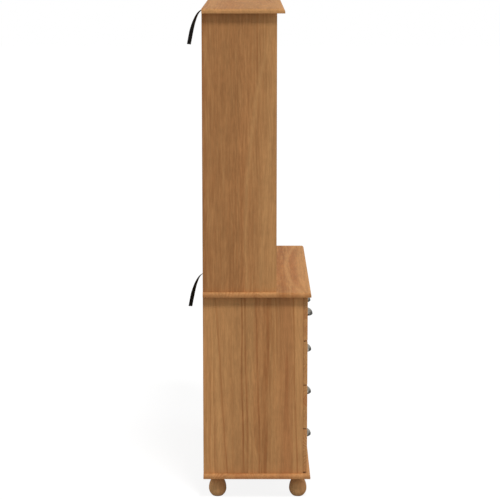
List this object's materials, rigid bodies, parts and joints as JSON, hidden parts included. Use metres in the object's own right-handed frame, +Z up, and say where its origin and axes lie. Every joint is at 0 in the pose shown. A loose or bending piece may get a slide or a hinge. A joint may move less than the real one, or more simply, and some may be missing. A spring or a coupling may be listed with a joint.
{
  "type": "hutch",
  "caption": "Tall waxed pine hutch: open shelves with a matchboard back over a chest of overlay drawers with metal cup pulls, on turned bun feet, with wall straps.",
  "frame": {"origin": "on the floor, under the middle of the hutch", "axes": "+Z up, +X to the right of someone facing the drawers, +Y to the back; the drawers face -Y"},
  "size_m": [1.12, 0.5174, 1.96],
  "materials": {
    "waxed_pine": "honey wax, satin",
    "turned_pine": "honey wax, satin",
    "bare_pine": "sanded, unwaxed",
    "plywood": "sanded sheet",
    "beech": "fluted, bare",
    "antique_pewter": "rubbed, satin",
    "zinc_steel": "zinc plated",
    "webbing": "woven, matt"
  },
  "bodies": {
    "case": {"base_board": "waxed_pine", "base_left_side": "waxed_pine", "base_right_side": "waxed_pine", "worktop": "waxed_pine", "hutch_left_side": "waxed_pine", "hutch_right_side": "waxed_pine", "hutch_top": "waxed_pine", "frieze": "waxed_pine", "lower_shelf": "waxed_pine", "middle_shelf": "waxed_pine", "upper_shelf": "waxed_pine", "hutch_back_boards": "waxed_pine", "front_left_foot": "turned_pine", "front_right_foot": "turned_pine", "back_left_foot": "turned_pine", "back_right_foot": "turned_pine", "divider_board": "bare_pine", "partition": "bare_pine", "wide_drawer_runners": "bare_pine", "top_drawer_runners": "bare_pine", "base_back_panel": "plywood", "dowels": "beech", "foot_bolts": "zinc_steel", "shelf_pins": "zinc_steel", "strap_screws": "zinc_steel", "upper_wall_strap": "webbing", "lower_wall_strap": "webbing"},
    "lower_drawer": {"lower_drawer_front": "waxed_pine", "lower_drawer_sides": "bare_pine", "lower_drawer_back": "bare_pine", "lower_drawer_bottom": "plywood", "lower_drawer_pulls": "antique_pewter", "lower_drawer_pull_screws": "zinc_steel"},
    "middle_drawer": {"middle_drawer_front": "waxed_pine", "middle_drawer_sides": "bare_pine", "middle_drawer_back": "bare_pine", "middle_drawer_bottom": "plywood", "middle_drawer_pulls": "antique_pewter", "middle_drawer_pull_screws": "zinc_steel"},
    "upper_drawer": {"upper_drawer_front": "waxed_pine", "upper_drawer_sides": "bare_pine", "upper_drawer_back": "bare_pine", "upper_drawer_bottom": "plywood", "upper_drawer_pulls": "antique_pewter", "upper_drawer_pull_screws": "zinc_steel"},
    "top_left_drawer": {"top_left_drawer_front": "waxed_pine", "top_left_drawer_sides": "bare_pine", "top_left_drawer_back": "bare_pine", "top_left_drawer_bottom": "plywood", "top_left_drawer_pulls": "antique_pewter", "top_left_drawer_pull_screws": "zinc_steel"},
    "top_right_drawer": {"top_right_drawer_front": "waxed_pine", "top_right_drawer_sides": "bare_pine", "top_right_drawer_back": "bare_pine", "top_right_drawer_bottom": "plywood", "top_right_drawer_pulls": "antique_pewter", "top_right_drawer_pull_screws": "zinc_steel"}
  },
  "joints": [
    {"name": "lower_drawer_slide", "type": "slide", "parent": "case", "child": "lower_drawer", "axis": [0, -1, 0], "range_m": [0, 0.28]},
    {"name": "middle_drawer_slide", "type": "slide", "parent": "case", "child": "middle_drawer", "axis": [0, -1, 0], "range_m": [0, 0.28]},
    {"name": "upper_drawer_slide", "type": "slide", "parent": "case", "child": "upper_drawer", "axis": [0, -1, 0], "range_m": [0, 0.28]},
    {"name": "top_left_drawer_slide", "type": "slide", "parent": "case", "child": "top_left_drawer", "axis": [0, -1, 0], "range_m": [0, 0.28]},
    {"name": "top_right_drawer_slide", "type": "slide", "parent": "case", "child": "top_right_drawer", "axis": [0, -1, 0], "range_m": [0, 0.28]}
  ]
}
